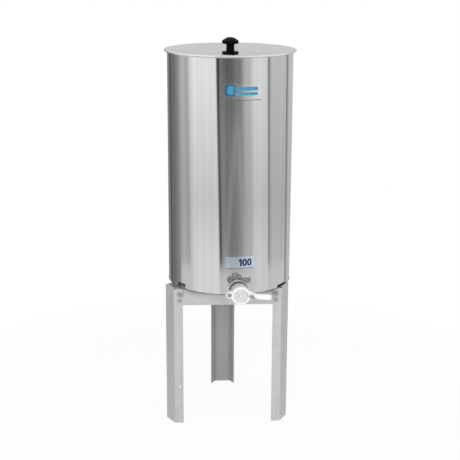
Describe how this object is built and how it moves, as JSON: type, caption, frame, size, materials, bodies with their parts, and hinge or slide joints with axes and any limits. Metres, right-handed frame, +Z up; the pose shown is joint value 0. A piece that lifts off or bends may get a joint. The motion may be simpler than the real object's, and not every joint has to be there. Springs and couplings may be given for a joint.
{
  "type": "honey settling tank",
  "caption": "Cylindrical sheet-steel honey settling tank with a dished lift-off lid and knob, a swing gate low on the wall and a bolted stand of folded legs.",
  "frame": {"origin": "on the floor, under the tank's axis", "axes": "+Z up along the tank's axis, -Y out through the gate, +X to the right seen from the gate"},
  "size_m": [0.3949, 0.4745, 1.161],
  "materials": {
    "stainless": "bright rolled stainless sheet with faint upright streaks",
    "socket_steel": "turned stainless steel",
    "galvanised": "dull galvanised sheet with faint spangle",
    "white_nylon": "moulded white nylon, slightly glossy",
    "black_plastic": "moulded black plastic, half glossy",
    "rubber": "dull black rubber",
    "zinc_screws": "zinc-plated steel",
    "brass": "turned brass"
  },
  "bodies": {
    "tank": {"tank_shell": "stainless", "tank_floor": "stainless", "outlet_socket": "socket_steel", "socket_gasket": "rubber", "tail_seal": "rubber", "union_nut": "white_nylon", "gate_body": "white_nylon", "pivot_bolt": "zinc_screws", "pivot_washer": "zinc_screws", "pivot_nut": "zinc_screws", "clamp_bolt": "zinc_screws", "clamp_washer": "zinc_screws", "leg_front_left": "galvanised", "leg_front_right": "galvanised", "leg_back": "galvanised", "crossbar_front": "galvanised", "crossbar_right": "galvanised", "crossbar_left": "galvanised", "stand_bolts": "zinc_screws", "stand_nuts": "zinc_screws"},
    "lid": {"lid": "stainless", "lid_knob": "black_plastic", "knob_insert": "brass", "knob_screw": "zinc_screws", "knob_washer": "zinc_screws"},
    "blade": {"gate_blade": "white_nylon"},
    "wing": {"wing_nut": "zinc_screws"}
  },
  "joints": [
    {"name": "lid_lift", "type": "slide", "parent": "tank", "child": "lid", "axis": [0, 0, 1], "range_m": [0, 0.25]},
    {"name": "gate_swing", "type": "hinge", "parent": "tank", "child": "blade", "pos_m": [-0.03286, -0.25875, 0.45699], "axis": [0, -1, 0], "range_deg": [0, 95]},
    {"name": "wing_nut_turn", "type": "hinge", "parent": "tank", "child": "wing", "pos_m": [0.03286, -0.2665, 0.45101], "axis": [0, -1, 0], "continuous": true}
  ]
}
